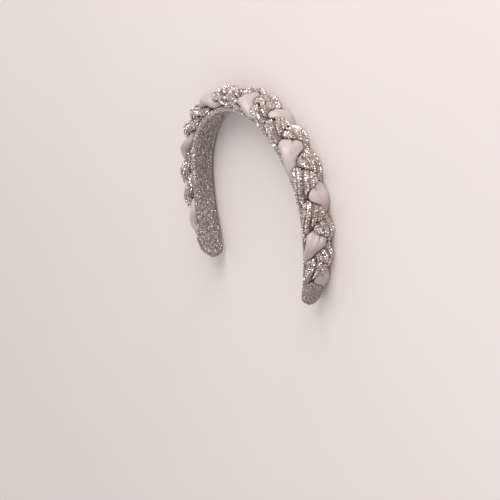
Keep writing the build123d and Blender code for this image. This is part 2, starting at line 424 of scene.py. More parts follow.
@dataclass
class PlaitedStrand:
    """One padded strand of the plait, from tip to tip."""

    node: str
    slot: Slot
    plait: Plait
    turn: int
    pleats: tuple[Pleat, ...]
    fill: float
    ring_count: int = 520
    around: int = 80
    samples: Flat = (-0.5, 0.5)
    tuck_phase: float = -18.0
    drift_length: float = 45.0
    stretched: Fade = Fade(start=10.0, end=32.0)
    side_sharpness: float = 1.4
    crease: float = 0.72
    end_rings: int = 4
    end_bluntness: float = 0.3
    rings: list[Ring] = field(default_factory=list)

    @property
    def name(self) -> str:
        """The name of the strand's piece."""
        return f"{self.node}_cloth"

    @property
    def spacing(self) -> float:
        """The arc from one ring to the next."""
        return (self.plait.band.length - 2 * self.plait.start) / (self.ring_count - 1)

    def kept(self, arc: float, angle: float) -> float:
        """The share of its radius that the strand keeps, where pleats draw it in.

        Args:
            arc: length along the band.
            angle: the way from the mid-line in radians, where a quarter turn is outwards.

        Returns:
            The share, which is 1 where the strand is plain.
        """
        phase = self.plait.phase(arc, self.turn)
        from_tuck = (degrees(phase) - self.tuck_phase) % 180
        from_tuck = min(from_tuck, 180 - from_tuck)
        from_crest = (degrees(angle) - self.plait.crest(arc, self.turn) + 180) % 360 - 180
        endless = self.stretched.at(self.plait.band.from_tip(arc))
        kept = 1.0
        for pleat in self.pleats:
            fade = ease(1 - from_tuck / pleat.reach) if pleat.reach else endless
            if pleat.side:
                fade *= ease(self.side_sharpness * pleat.side * sin(phase))
            line = pleat.angle + pleat.drift * (from_tuck / self.drift_length)
            kept -= pleat.depth * fade * ease(1 - abs(from_crest - line) / pleat.spread)
        return kept

    def rooms(self, arc: float) -> list[Room]:
        """The limits that the other strands set, half a ring to either side.

        Args:
            arc: length along the band.

        Returns:
            A limit for each other strand at each sample.
        """
        plait = self.plait
        half_width, half_height = plait.strand_width / 2, plait.strand_height / 2
        side, rise = plait.centre(arc, self.turn)
        width_share, rise_share = plait.scale(arc)
        others = [turn for turn in range(plait.strand_count) if turn != self.turn]
        rooms = []
        for near in (arc + sample * self.spacing for sample in self.samples):
            near_side, near_rise = plait.centre(near, self.turn)
            near_width, near_height = plait.scale(near)
            wider, higher = width_share / near_width, rise_share / near_height
            firm = plait.firmness(near, self.turn)
            for turn in others:
                other_side, other_rise = plait.centre(near, turn)
                step_side, step_rise = other_side - near_side, other_rise - near_rise
                apart = hypot(step_side / half_width, step_rise / half_height)
                out, up = step_side / half_width / apart, step_rise / half_height / apart
                half_gap = plait.fit_gap / 2 * apart / hypot(step_side, step_rise)
                moved_side = (wider * side - near_side) / half_width
                moved_rise = (higher * rise - near_rise) / half_height
                own_part = apart * firm / (firm + plait.firmness(near, turn))
                distance = own_part - half_gap - moved_side * out - moved_rise * up
                rooms.append(Room(wider * out, higher * up, distance))
        return rooms

    def outline(self, arc: float) -> list[tuple[float, float, float]]:
        """The strand's outline, pressed flat by the band and by the other strands.

        Args:
            arc: length along the band.

        Returns:
            Side, rise and freedom of each point, from the front edge over the outer side.
        """
        plait, sharp = self.plait, self.plait.corner_sharpness
        side, rise = plait.centre(arc, self.turn)
        half_width, half_height = plait.strand_width / 2, plait.strand_height / 2
        width_share, rise_share = plait.scale(arc)
        rooms = self.rooms(arc)
        points = []
        for step, (out, up) in enumerate(ways_round(self.around)):
            kept = self.kept(arc, 2 * pi * step / self.around)
            free = box_reach(out, up, plait.squareness) * kept
            limits = [free]
            if up < -LEAST_SLOPE:
                to_band = (rise - plait.fit_gap) / (-up * half_height)
                meets_band = abs(width_share * (side + to_band * half_width * out))
                past_edge = meets_band - plait.band.half_width(arc) + plait.overhang_start
                drop = plait.overhang_drop * clamp(past_edge / plait.overhang_spread) ** 2
                limits.append(to_band * (1 + drop))
            for room in rooms:
                towards = out * room.towards_side + up * room.towards_rise
                if towards > LEAST_SLOPE:
                    limits.append(room.distance / towards)
            tightest = min(limits)
            reach = tightest * sum((limit / tightest) ** -sharp for limit in limits) ** (-1 / sharp)
            points.append((
                width_share * (side + reach * half_width * out),
                rise_share * (rise + reach * half_height * up),
                reach / free if kept > self.crease else 0.0,
            ))
        return points

    def ring(self, arc: float) -> Ring:
        """The strand's outline in its place.

        Args:
            arc: length along the band.

        Returns:
            The ring, in metres on the floor.
        """
        station = self.plait.band.station(arc)
        outline = self.outline(arc)
        points = [station.place(side, rise) for side, rise, _ in outline]
        crest = self.plait.crest(arc, self.turn) / 360 * self.around
        return Ring(arc, points, [free for _, _, free in outline], crest)

    def measure(self) -> None:
        """Works out every ring, and draws the two ends in to a rounded close."""
        arcs = (self.plait.start + number * self.spacing for number in range(self.ring_count))
        self.rings = [self.ring(arc) for arc in arcs]
        blunt = self.end_bluntness
        for number in range(self.end_rings):
            shrink = sqrt(1 - (1 - (number + blunt) / (self.end_rings + blunt)) ** 2)
            for ring in (self.rings[number], self.rings[-1 - number]):
                middle = ring.middle
                ring.points[:] = [middle + (point - middle) * shrink for point in ring.points]

    def build(self, finish: bpy.types.Material) -> bpy.types.Object:
        """Bends a grid into the strand's tube and closes its ends.

        Args:
            finish: the strand's material.

        Returns:
            The finished strand.
        """
        self.measure()
        tube = bent_tube(self.ring_count, self.around, lambda row, at: self.rings[row].points[at])
        strand = dressed(as_object(self.name, tube, smooth=True), self.slot, finish, self.node)
        return strand


def running_length(points: Iterable[Vector]) -> list[float]:
    """The length of a line of points, up to each of them."""
    steps = ((after - before).length for before, after in pairwise(points))
    return list(accumulate(steps, initial=0.0))


def bent_tube(rows: int, columns: int, place: Callable[[int, int], Vector]) -> bmesh.types.BMesh:
    """A grid that is bent round into a closed tube, with its ends filled.

    Args:
        rows: the number of rings along the tube.
        columns: the number of points round each ring.
        place: gives the point of one row and column, in metres.

    Returns:
        The tube, whose UV map holds the distance along it and round it, in metres.
    """
    tube = bmesh.new()
    uv_map = tube.loops.layers.uv.new("cloth")
    bmesh.ops.create_grid(tube, x_segments=rows - 1, y_segments=columns, size=1.0, calc_uvs=True)
    spots = {}
    for vertex in tube.verts:
        row = round((vertex.co.x + 1) / 2 * (rows - 1))
        column = round((vertex.co.y + 1) / 2 * columns)
        spots[vertex] = (row, column)
    run = running_length(place(row, columns // 4) for row in range(rows))
    waist = [place(rows // 2, column % columns) for column in range(columns + 1)]
    girth = sum((before - after).length for before, after in pairwise(waist))
    for face in tube.faces:
        for loop in face.loops:
            row, column = spots[loop.vert]
            loop[uv_map].uv = (run[row], girth * column / columns)
    for vertex, (row, column) in spots.items():
        vertex.co = place(row, column % columns)
    bmesh.ops.remove_doubles(tube, verts=tube.verts, dist=WELD)
    ends = [edge for edge in tube.edges if edge.is_boundary]
    bmesh.ops.holes_fill(tube, edges=ends, sides=0)
    bmesh.ops.recalc_face_normals(tube, faces=tube.faces)
    return tube


def linked(name: str, data: bpy.types.ID) -> bpy.types.Object:
    """Makes an object and links it to the scene.

    Args:
        name: the object's name.
        data: its mesh, camera or light.

    Returns:
        The object.
    """
    made = bpy.data.objects.new(name, data)
    bpy.context.scene.collection.objects.link(made)
    return made


def as_object(name: str, shape: bmesh.types.BMesh, smooth: bool) -> bpy.types.Object:
    """Turns a bmesh into an object of the scene.

    Args:
        name: the object's name.
        shape: the bmesh, which is freed.
        smooth: whether its faces are shaded smooth.

    Returns:
        The new object.
    """
    mesh = bpy.data.meshes.new(name)
    for face in shape.faces:
        face.smooth = smooth
    shape.to_mesh(mesh)
    shape.free()
    return linked(name, mesh)


def dressed(
    piece: bpy.types.Object, slot: Slot, finish: bpy.types.Material, node: str = ""
) -> bpy.types.Object:
    """Gives a piece its material, and says what it rides on and what it replaces.

    Args:
        piece: the piece.
        slot: its slot in the record, which is not used.
        finish: its material.
        node: the node that it replaces, if it replaces one.

    Returns:
        The same piece.
    """
    piece.data.materials.append(finish)
    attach(piece, BODY)
    if node:
        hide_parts(node)
    LOG.info("%s: %d faces", piece.name, len(piece.data.polygons))
    return piece


@dataclass(frozen=True)
class Spot:
    """Where one small stone sits: its place, the way it looks, its size and how bright it is."""

    place: Vector
    turned: Quaternion
    size: float
    tone: float


@dataclass(frozen=True)
class Stone:
    """A small cut stone, a flat-topped cone with a few sides, and how it is set in the cloth."""

    sides: int
    foot_radius: float
    table_radius: float
    height: float
    depth: float
    tilt: float

    def sunk_in(self, place: Vector, normal: Vector) -> Vector:
        """The place of the stone's foot, set into the cloth but kept above the floor.

        Args:
            place: the point on the cloth, in metres.
            normal: the way that the cloth looks there.

        Returns:
            The foot's middle, in metres.
        """
        foot = place - normal * self.depth * MM
        top = min(0.0, normal.z) * self.height * MM
        lowest = foot.z + top - self.foot_radius * hypot(normal.x, normal.y) * MM
        foot.z -= min(0.0, lowest)
        return foot

    def leaned(self, normal: Vector, random: Random) -> Quaternion:
        """The stone's turn along the cloth's normal, with a lean and a spin by chance.

        Args:
            normal: the way that the cloth looks.
            random: the source of chance.

        Returns:
            The turn.
        """
        lean = [radians(random.gauss(0, self.tilt)) for _ in range(2)]
        chance = Euler([*lean, random.random() * pi])
        return normal.to_track_quat("Z", "X") @ chance.to_quaternion()

    def build(self) -> bpy.types.Object:
        """The stone by itself, looking up.

        Returns:
            The stone, with its foot at the origin.
        """
        stone = bmesh.new()
        bmesh.ops.create_cone(
            stone,
            cap_ends=True,
            segments=self.sides,
            radius1=self.foot_radius * MM,
            radius2=self.table_radius * MM,
            depth=self.height * MM,
            matrix=Matrix.Translation((0, 0, self.height * MM / 2)),
        )
        return as_object("stone", stone, smooth=False)


@dataclass
class Setting:
    """Sets a copy of one stone at each of many spots and joins the copies in one mesh."""

    name: str
    stone: Stone
    slot: Slot

    def points(self, spots: list[Spot]) -> bpy.types.Object:
        """The spots as loose points.

        Args:
            spots: where the stones go.

        Returns:
            A mesh whose points carry each spot's turn, size and tone.
        """
        cloud = bmesh.new()
        turn = cloud.verts.layers.float_vector.new("turn")
        size = cloud.verts.layers.float.new("size")
        tone = cloud.verts.layers.float.new("tone")
        for spot in spots:
            vertex = cloud.verts.new(spot.place)
            vertex[turn] = Vector(spot.turned.to_euler())
            vertex[size] = spot.size
            vertex[tone] = spot.tone
        return as_object(f"{self.name}_points", cloud, smooth=False)

    def nodes(self, stone: bpy.types.Object) -> bpy.types.NodeTree:
        """Geometry nodes that put the stone on every point and realise the copies.

        Args:
            stone: the stone to copy.

        Returns:
            The node tree.
        """
        shape = {"Geometry": Socket.GEOMETRY}
        wiring, given, leave = new_group(self.name, "GeometryNodeTree", shape, shape)
        source = wiring.add("GeometryNodeObjectInfo", {"Object": stone})
        turn, size = (
            wiring.add("GeometryNodeInputNamedAttribute", {"Name": name}, data_type=kind)
            for name, kind in (("turn", "FLOAT_VECTOR"), ("size", "FLOAT"))
        )
        placing = {
            "Points": given["Geometry"],
            "Instance": source.outputs["Geometry"],
            "Rotation": turn.outputs["Attribute"],
            "Scale": size.outputs["Attribute"],
        }
        copies = wiring.add("GeometryNodeInstanceOnPoints", placing).outputs["Instances"]
        real = wiring.add("GeometryNodeRealizeInstances", {"Geometry": copies})
        wiring.fill(leave, {"Geometry": real.outputs["Geometry"]})
        return wiring.tree

    def build(self, spots: list[Spot], finish: bpy.types.Material) -> bpy.types.Object:
        """Sets the stones.

        Args:
            spots: where each stone goes.
            finish: the stones' material.

        Returns:
            One object with all the stones.
        """
        stone, points = self.stone.build(), self.points(spots)
        points.modifiers.new("set", "NODES").node_group = self.nodes(stone)
        graph = bpy.context.evaluated_depsgraph_get()
        mesh = bpy.data.meshes.new_from_object(points.evaluated_get(graph))
        mesh.name = self.name
        mesh.materials.clear()
        for helper in (points, stone):
            bpy.data.objects.remove(helper)
        return dressed(linked(self.name, mesh), self.slot, finish)


class SkinPoint(NamedTuple):
    """A place on a strand's skin: where it is, and how free it is of the other strands."""

    place: Vector
    free: float


@dataclass
class CrystalRows:
    """Rows of small crystals along a strand, wherever the strand shows."""

    strand: PlaitedStrand
    stone: Stone = Stone(
        sides=8, foot_radius=0.98, table_radius=0.62, height=0.7, depth=0.18, tilt=8.0
    )
    pitch: float = 2.0
    row_pitch: float = 2.2
    rows_to_side: int = 11
    freedom: float = 0.90
    probe: float = 0.6
    first_from_tip: float = 17.0
    least_size: float = 0.62
    grown: Fade = Fade(start=20.0, end=45.0)
    sizes: Flat = (0.97, 1.03)
    seed: int = 11

    def skin(self, ring: Ring, offset: float) -> SkinPoint:
        """The point of a ring at a distance round it from its crest.

        Args:
            ring: the strand's outline.
            offset: distance round the outline in metres, positive towards the front edge.

        Returns:
            The place and its freedom.
        """
        count = len(ring.points)
        low = int(ring.crest)
        share = ring.crest - low
        first, second = low % count, (low + 1) % count
        free = ring.free[first] * (1 - share) + ring.free[second] * share
        here = SkinPoint(ring.points[first].lerp(ring.points[second], share), free)
        step, index = (-1, low) if offset > 0 else (1, low + 1)
        left = abs(offset)
        for _ in range(count // 2):
            there = SkinPoint(ring.points[index % count], ring.free[index % count])
            part = (there.place - here.place).length
            if part >= left and part > 0:
                share = left / part
                free = here.free + share * (there.free - here.free)
                return SkinPoint(here.place.lerp(there.place, share), free)
            left -= part
            here, index = there, index + step
        return SkinPoint(here.place, 0.0)

    def normal(self, ring: Ring, offset: float, along: Vector) -> Vector | None:
        """The way that the strand's skin looks.

        Args:
            ring: the strand's outline.
            offset: distance round the outline from its crest, in metres.
            along: the way along the strand.

        Returns:
            The unit normal, out of the strand, or None where the skin has no width.
        """
        offsets = (offset + self.probe * MM, offset, offset - self.probe * MM)
        front, here, rear = (self.skin(ring, near).place for near in offsets)
        normal = (front - rear).cross(along)
        if normal.length < NO_LENGTH:
            return None
        normal.normalize()
        if normal.dot(here - ring.middle) < 0:
            normal.negate()
        return normal

    def row_spots(self, row: int, random: Random) -> list[Spot]:
        """The spots of one row.

        Args:
            row: the row's number, from the strand's crest towards the front edge.
            random: the source of chance.

        Returns:
            A spot for each crystal of the row that shows.
        """
        rings, band = self.strand.rings, self.strand.plait.band
        offset = row * self.row_pitch * MM
        line = [self.skin(ring, offset) for ring in rings]
        run = running_length(point.place for point in line)
        spots = []
        walked = (0.5 if row % 2 else 0.0) * self.pitch * MM
        while walked < run[-1]:
            number = min(max(bisect_right(run, walked), 2), len(rings) - 2)
            here, from_tip = line[number], band.from_tip(rings[number].arc)
            size = self.least_size + (1 - self.least_size) * self.grown.at(from_tip)
            walked += self.pitch * MM * size
            if here.free < self.freedom or from_tip < self.first_from_tip:
                continue
            along = line[number + 1].place - line[number - 1].place
            normal = self.normal(rings[number], offset, along)
            if normal is None:
                continue
            turned = self.stone.leaned(normal, random)
            size *= random.uniform(*self.sizes)
            foot = self.stone.sunk_in(here.place, normal)
            spots.append(Spot(foot, turned, size, random.random()))
        return spots

    def build(self, finish: bpy.types.Material) -> bpy.types.Object:
        """Sets every row of the strand.

        Args:
            finish: the crystals' material.

        Returns:
            The crystals, as one object.
        """
        random = Random(self.seed + self.strand.turn)
        rows = range(-self.rows_to_side, self.rows_to_side + 1)
        spots = [spot for row in rows for spot in self.row_spots(row, random)]
        setting = Setting(f"{self.strand.name}_crystals", self.stone, Slot.CRYSTAL_FABRIC)
        return setting.build(spots, finish)


@dataclass
class BandCover:
    """The band wrapped in glitter cloth, which is drawn tight over the plait's end at each tip."""

    band: Band
    strands: tuple[PlaitedStrand, ...]
    rows: int = 460
    around: int = 64
    tip_share: float = 0.05
    squareness: float = 3.4
    tip_squareness: int = 5
    wrap_end: float = 20.5
    wrap_slant: float = 0.44
    wrap_thickness: float = 0.35
    wrap_start: float = 1.0
    wrap_inset: float = 1.0
    hem: float = 1.0
    way_count: int = 90
    least_facing: float = 0.05
    least_lift: float = 0.2

    def arc(self, row: int) -> float:
        """The arc of one row, with the rows close together at the rounded tips.

        Args:
            row: the row's number.

        Returns:
            Its arc.
        """
        share = row / (self.rows - 1)
        near, radius = min(share, 1 - share), self.band.tip_width / 2
        if near < self.tip_share:
            arc = radius * (1 - cos(near / self.tip_share * pi / 2))
        else:
            middle = self.band.length / 2 - radius
            arc = radius + middle * (near - self.tip_share) / (0.5 - self.tip_share)
        return arc if share < 0.5 else self.band.length - arc

    def wrapped(self, from_tip: float, side: float) -> float:
        """How far the wrap is closed over the plait at one place, from 0 to 1."""
        end = self.wrap_end + self.wrap_slant * side
        return ease((end - from_tip) / self.hem)

    def plait_points(self, arc: float) -> list[Flat]:
        """The points round all the strands, drawn in on the way to the tip.

        Args:
            arc: length along the band.

        Returns:
            Side and rise of each point.
        """
        band, plait = self.band, self.strands[0].plait
        from_tip, first = band.from_tip(arc), plait.start + self.wrap_inset
        if from_tip < self.wrap_start:
            return []
        if from_tip < first:
            arc = first if band.hand(arc) < 0 else band.length - first
        share = sqrt(1 - clamp((first - from_tip) / (first - self.wrap_start)) ** 2)
        narrow = 1 - clamp(1 - from_tip / plait.start) ** 2
        points = [point for strand in self.strands for point in strand.outline(arc)]
        return [(side * narrow, rise * share) for side, rise, _ in points]

    def plain_outline(self, arc: float) -> list[Flat]:
        """The points round the bare band.

        Args:
            arc: length along the band.

        Returns:
            Side and rise of each point, from the front edge over the outer face.
        """
        from_tip, radius = self.band.from_tip(arc), self.band.tip_width / 2
        half_width, half_height = self.band.half_width(arc), self.band.thickness / 2
        middle = -half_height
        if from_tip < radius:
            half_width = sqrt(max(0.0, radius**2 - (radius - from_tip) ** 2))
            half_height *= sqrt(clamp(1 - (1 - from_tip / radius) ** self.tip_squareness))
        plain = []
        for out, up in ways_round(self.around):
            reach = box_reach(out, up, self.squareness)
            plain.append((reach * out * half_width, middle + reach * up * half_height))
        return plain

    def outline(self, arc: float) -> list[Flat]:
        """The points round the cover, which the wrap draws out round the plait's end.

        Args:
            arc: length along the band.

        Returns:
            Side and rise of each point, from the front edge over the outer face.
        """
        from_tip, middle = self.band.from_tip(arc), -self.band.thickness / 2
        plain = self.plain_outline(arc)
        if from_tip > self.wrap_end + self.wrap_slant * max(plain)[0]:
            return plain
        points = plain + self.plait_points(arc)
        reaches = [
            (max(side * out + (rise - middle) * up for side, rise in points), out, up)
            for out, up in ways_round(self.way_count)
        ]
        drawn = []
        for side, rise in plain:
            length = hypot(side, rise - middle)
            if length == 0:
                drawn.append((side, rise))
                continue
            out, up = side / length, (rise - middle) / length
            tight = min(
                reach / (out * way_out + up * way_up)
                for reach, way_out, way_up in reaches
                if out * way_out + up * way_up > self.least_facing
            )
            lifted = tight > length + self.least_lift
            share = self.wrapped(from_tip, tight * out) if lifted else 0.0
            reach = length + share * (tight + self.wrap_thickness - length)
            drawn.append((reach * out, middle + reach * up))
        return drawn

    def build(self, finish: bpy.types.Material) -> bpy.types.Object:
        """Bends a grid round the band and closes it at the tips.

        Args:
            finish: the cover's material.

        Returns:
            The cover.
        """
        arcs = [self.arc(row) for row in range(self.rows)]
        stations = [self.band.station(arc) for arc in arcs]
        outlines = [self.outline(arc) for arc in arcs]
        tube = bent_tube(
            self.rows, self.around, lambda row, at: stations[row].place(*outlines[row][at])
        )
        cover = as_object("band_cover", tube, smooth=True)
        return dressed(cover, Slot.GLITTER_COVER, finish, "base_band")


@dataclass
class GlitterGrains:
    """Fine raised grains of glitter over the cover, except where the plait lies on it."""

    cover: BandCover
    stone: Stone = Stone(
        sides=4, foot_radius=0.58, table_radius=0.36, height=0.28, depth=0.06, tilt=17.0
    )
    pitch: float = 1.05
    ring_share: float = 0.87
    end_gap: float = 0.4
    least_count: int = 3
    jitter: float = 0.3
    jitter_along: float = 0.45
    sizes: Flat = (0.75, 1.15)
    closed: float = 0.5
    rim_height: float = 0.6
    rim_width: float = 1.6
    inner_rim_width: float = 2.0
    inner_share: float = 0.25
    tone_range: float = 0.5
    # painted light: the next two fields make the grains lighter from 40 to 100 mm away from the
    # tips, so that the crown's rim reads lit and the tips shaded
    painted_crown_light: float = 0.5
    painted_light_fade: Fade = Fade(start=40.0, end=100.0)
    seed: int = 5

    def bare(self, arc: float, side: float, rise: float, random: Random) -> bool:
        """Whether a place gets no grain.

        Args:
            arc: length along the band.
            side: distance towards the front edge.
            rise: distance outwards.
            random: the source of chance, for the inner face, where grains are few.

        Returns:
            True under the plait, and for most places on the inner face.
        """
        band = self.cover.band
        from_edge = band.half_width(arc) - abs(side)
        uncovered = self.cover.wrapped(band.from_tip(arc), side) < self.closed
        if uncovered and rise > -self.rim_height and from_edge > self.rim_width:
            return True
        inside = rise < self.rim_height - band.thickness and from_edge > self.inner_rim_width
        return inside and random.random() > self.inner_share

    def normal(self, arc: float, station: Station, step: Flat) -> Vector:
        """The way that the cover looks.

        Args:
            arc: length along the band.
            station: the station there.
            step: a step round the cover's outline, across and outwards.

        Returns:
            The unit normal, which turns towards the tip's end where the tip is rounded.
        """
        band = self.cover.band
        edge = 1 - band.from_tip(arc) / (band.tip_width / 2)
        normal = (station.across * step[1] - station.outward * step[0]).normalized()
        if edge > 0:
            normal = (normal + station.along * band.hand(arc) * edge**2).normalized()
        return normal

    def ring_spots(self, arc: float, random: Random) -> list[Spot]:
        """The spots of one ring of grains.

        Args:
            arc: length along the band.
            random: the source of chance.

        Returns:
            A spot for each grain of the ring.
        """
        band, outline = self.cover.band, self.cover.outline(arc)
        outline.append(outline[0])
        station = band.station(arc)
        steps = [(high[0] - low[0], high[1] - low[1]) for low, high in pairwise(outline)]
        runs = list(accumulate((hypot(*step) for step in steps), initial=0.0))
        # painted light: each grain's tone is lifted with its distance from the nearer tip
        painted_lift = self.painted_crown_light * self.painted_light_fade.at(band.from_tip(arc))
        count = max(self.least_count, round(runs[-1] / self.pitch))
        spots = []
        for number in range(count):
            shift = random.uniform(-self.jitter, self.jitter)
            walked = (number + shift) * runs[-1] / count % runs[-1]
            place = min(bisect_right(runs, walked), len(steps)) - 1
            share = (walked - runs[place]) / (runs[place + 1] - runs[place])
            side, rise = (at + share * step for at, step in zip(outline[place], steps[place]))
            if self.bare(arc, side, rise, random):
                continue
            normal = self.normal(arc, station, steps[place])
            turned = self.stone.leaned(normal, random)
            size = random.uniform(*self.sizes)
            shift = random.uniform(-self.jitter_along, self.jitter_along)
            on_cloth = station.place(side, rise) + station.along * shift * self.pitch * MM
            tone = painted_lift + self.tone_range * random.random()
            spots.append(Spot(self.stone.sunk_in(on_cloth, normal), turned, size, tone))
        return spots

    def build(self, finish: bpy.types.Material) -> bpy.types.Object:
        """Sets the grains, ring by ring.

        Args:
            finish: the grains' material.

        Returns:
            The grains, as one object.
        """
        random = Random(self.seed)
        spots = []
        arc = self.end_gap
        while arc < self.cover.band.length - self.end_gap:
            spots += self.ring_spots(arc, random)
            arc += self.pitch * self.ring_share
        return Setting("band_cover_grains", self.stone, Slot.GLITTER_COVER).build(spots, finish)


class Wiring:
    """Places nodes in one node tree and joins their sockets."""

    def __init__(self, tree: bpy.types.NodeTree) -> None:
        """Works on one tree."""
        self.tree = tree

    def fill(self, node: bpy.types.Node, values: dict[str | int, object]) -> None:
        """Joins a node's inputs to other sockets, or sets them to plain values.

        Args:
            node: the node.
            values: a socket or a value for each input, by name or number.
        """
        for name, value in values.items():
            if isinstance(value, bpy.types.NodeSocket):
                self.tree.links.new(value, node.inputs[name])
            else:
                node.inputs[name].default_value = value

    def add(
        self, kind: str, values: dict[str | int, object] | None = None, **settings: object
    ) -> bpy.types.Node:
        """Adds a node.

        Args:
            kind: the node's type.
            values: what its inputs get, by name or number.
            settings: the node's own properties.

        Returns:
            The node.
        """
        node = self.tree.nodes.new(kind)
        for name, value in settings.items():
            setattr(node, name, value)
        self.fill(node, values or {})
        return node

    def maths(self, kind: str, *terms: bpy.types.NodeSocket | float) -> bpy.types.NodeSocket:
        """A Math node over sockets and numbers, in order."""
        return self.add("ShaderNodeMath", dict(enumerate(terms)), operation=kind).outputs[0]

    def vectors(self, kind: str, *terms: object, **named: object) -> bpy.types.NodeSocket:
        """A Vector Math node over sockets and vectors, in order, and over inputs by name."""
        values = {**dict(enumerate(terms)), **named}
        return self.add("ShaderNodeVectorMath", values, operation=kind).outputs["Vector"]

    def noise(self, vector: bpy.types.NodeSocket, **values: float) -> bpy.types.NodeSocket:
        """A noise over a vector, with its other inputs by name."""
        return self.add("ShaderNodeTexNoise", {"Vector": vector, **values}).outputs["Fac"]

    def streaky(self, vector: bpy.types.NodeSocket, along: float) -> bpy.types.NodeSocket:
        """A vector that stretches a pattern along the cloth, by 1 over a share."""
        values = {"Vector": vector, "Scale": (along, 1.0, 1.0)}
        return self.add("ShaderNodeMapping", values).outputs["Vector"]

    def bump(
        self, height: bpy.types.NodeSocket, strength: float, distance: float, **over: object
    ) -> bpy.types.NodeSocket:
        """A bump's normal.

        Args:
            height: the height that it reads.
            strength: how strongly it shows.
            distance: how high it is, in metres.
            over: the Normal that it changes, where that isn't the surface's own.

        Returns:
            The changed normal.
        """
        values = {"Height": height, "Strength": strength, "Distance": distance, **over}
        return self.add("ShaderNodeBump", values).outputs["Normal"]

    def ramp(
        self, source: bpy.types.NodeSocket, stops: dict[float, Colour]
    ) -> bpy.types.NodeSocket:
        """A colour ramp.

        Args:
            source: the value that the ramp reads.
            stops: the colour at each position.

        Returns:
            The ramp's colour output.
        """
        node = self.add("ShaderNodeValToRGB", {"Fac": source})
        elements = node.color_ramp.elements
        places = sorted(stops)
        elements[0].position, elements[1].position = places[0], places[-1]
        for place in places[1:-1]:
            elements.new(place)
        for element, place in zip(elements, places):
            element.color = (*stops[place], 1)
        return node.outputs["Color"]


def new_group(
    name: str, kind: str, inputs: dict[str, Socket], outputs: dict[str, Socket]
) -> tuple[Wiring, bpy.types.NodeOutputs, bpy.types.Node]:
    """Starts a node group.

    Args:
        name: the group's name.
        kind: the type of its tree.
        inputs: the kind of each input socket, by name.
        outputs: the kind of each output socket, by name.

    Returns:
        The wiring of its tree, what its inputs give, and the node that takes its outputs.
    """
    tree = bpy.data.node_groups.new(name, kind)
    for in_out, sockets in (("INPUT", inputs), ("OUTPUT", outputs)):
        for label, socket in sockets.items():
            tree.interface.new_socket(label, in_out=in_out, socket_type=socket.value)
    wiring = Wiring(tree)
    return wiring, wiring.add("NodeGroupInput").outputs, wiring.add("NodeGroupOutput")


class SharedNodes:
    """The node groups that more than one finish uses, each built once."""

    def __init__(self) -> None:
        """Builds the groups."""
        self.weave = self.build_weave()
        self.flakes = self.build_flakes()

    def build_weave(self) -> bpy.types.NodeTree:
        """A fine plain weave.

        Returns:
            A group that gives its thread height, and a mask of thread that varies a little.
        """
        inputs = {"Vector": Socket.VECTOR, "Threads": Socket.NUMBER}
        outputs = {"Height": Socket.NUMBER, "Thread": Socket.NUMBER}
        wiring, given, leave = new_group("cloth_weave", "ShaderNodeTree", inputs, outputs)
        vector = given["Vector"]
        values = {"Vector": vector, "Scale": given["Threads"], "Distortion": 0.6, "Detail": 1.0}
        waves = [wiring.add("ShaderNodeTexWave", values, bands_direction=way) for way in "XY"]
        height = wiring.maths("MAXIMUM", *(wave.outputs["Fac"] for wave in waves))
        slub = wiring.noise(vector, Scale=420.0, Detail=3.0)
        wiring.fill(leave, {"Height": height, "Thread": wiring.maths("MULTIPLY", height, slub)})
        return wiring.tree

    def build_flakes(self) -> bpy.types.NodeTree:
        """Flakes that lie at chance angles.

        Returns:
            A group that gives each flake's tone, a mask of the bright ones, a height and a normal.
        """
        numbers = dict.fromkeys(("Scale", "Share", "Tilt"), Socket.NUMBER)
        inputs = {"Vector": Socket.VECTOR, **numbers}
        numbers = dict.fromkeys(("Tone", "Bright", "Height"), Socket.NUMBER)
        outputs = {**numbers, "Normal": Socket.VECTOR}
        wiring, given, leave = new_group("glitter_flakes", "ShaderNodeTree", inputs, outputs)
        values = {"Vector": given["Vector"], "Scale": given["Scale"], "Randomness": 1.0}
        cells = wiring.add("ShaderNodeTexVoronoi", values).outputs
        parts = wiring.add("ShaderNodeSeparateColor", {"Color": cells["Color"]}).outputs
        centred = wiring.vectors("SUBTRACT", cells["Color"], (0.5, 0.5, 0.5))
        tilted = wiring.vectors("SCALE", centred, Scale=given["Tilt"])
        normal = wiring.add("ShaderNodeNewGeometry").outputs["Normal"]
        values = {
            "Tone": parts["Red"],
            "Bright": wiring.maths("LESS_THAN", parts["Green"], given["Share"]),
            "Height": wiring.maths("SUBTRACT", 1.0, cells["Distance"]),
            "Normal": wiring.vectors("NORMALIZE", wiring.vectors("ADD", normal, tilted)),
        }
        wiring.fill(leave, values)
        return wiring.tree


@dataclass(frozen=True)
class Finish:
    """What every finish has: a name, and a material with one Principled shader."""

    name: str

    def inputs(self, wiring: Wiring) -> dict[str, object]:
        """What the shader's inputs get: each finish has its own."""
        raise NotImplementedError

    def material(self) -> bpy.types.Material:
        """Builds the material.

        Returns:
            The material.
        """
        material = bpy.data.materials.new(self.name)
        material.use_nodes = True
        wiring = Wiring(material.node_tree)
        wiring.fill(material.node_tree.nodes["Principled BSDF"], self.inputs(wiring))
        return material


